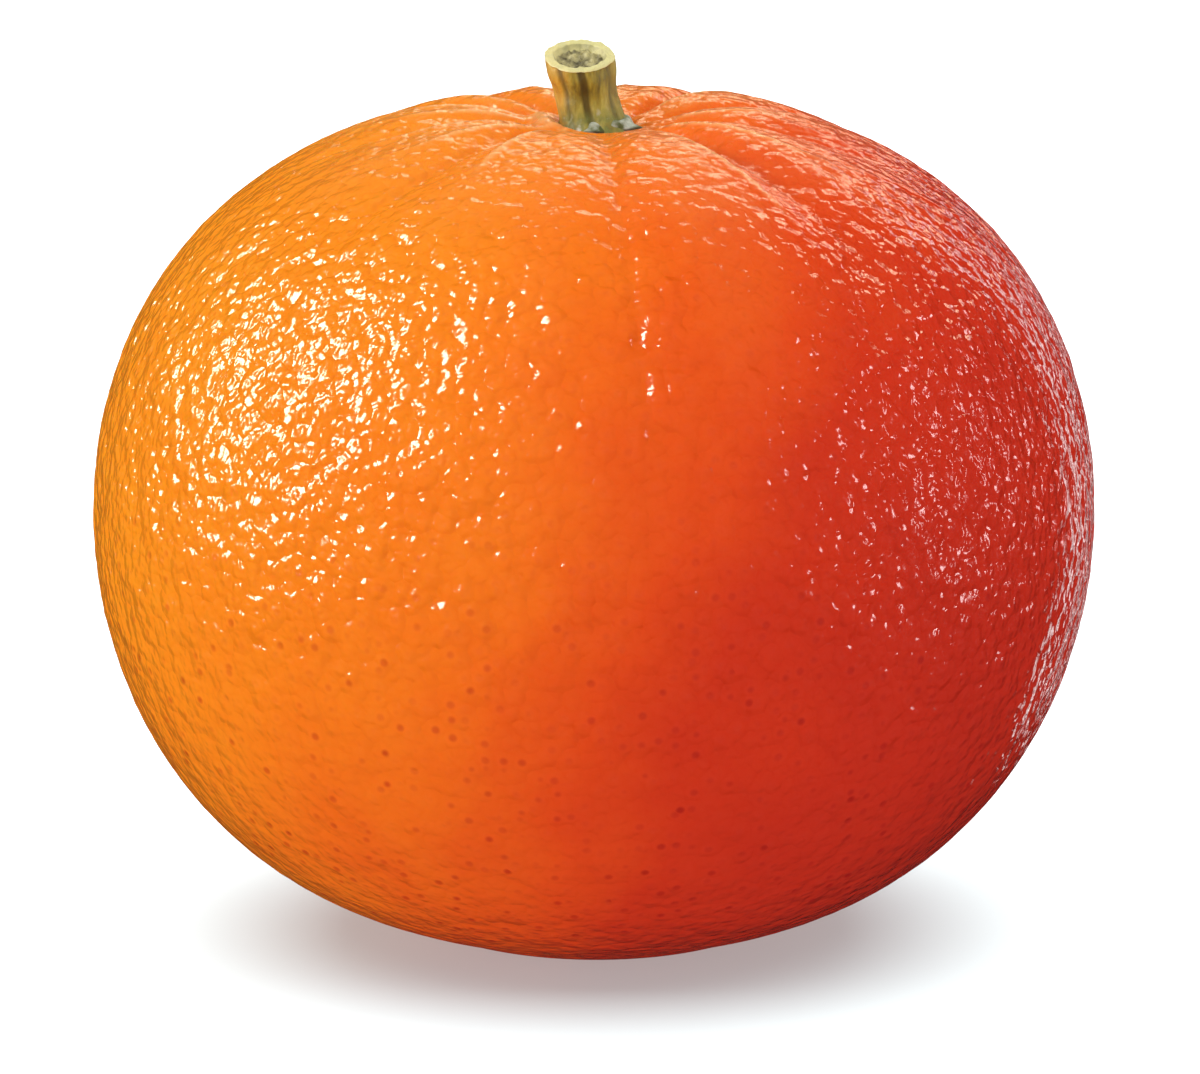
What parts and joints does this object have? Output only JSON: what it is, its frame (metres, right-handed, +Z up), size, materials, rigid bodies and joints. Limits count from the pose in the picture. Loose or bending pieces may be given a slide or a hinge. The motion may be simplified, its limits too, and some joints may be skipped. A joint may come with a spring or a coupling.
{
  "type": "mandarin",
  "caption": "Whole ripe mandarin with furrowed shoulders, a dipped neck and a short cut stem on a small calyx, resting on its blossom end.",
  "frame": {"origin": "on the surface that the fruit rests on, below the middle of the fruit's box", "axes": "+Z up through the stem; +X to the right and -Y towards a viewer who has the long front furrow facing them"},
  "size_m": [0.0663, 0.0653, 0.0598],
  "materials": {
    "peel": "satin",
    "calyx": "matte",
    "stem": "matte"
  },
  "bodies": {
    "root": {"fruit": "peel", "calyx": "calyx", "stem": "stem"}
  },
  "joints": []
}
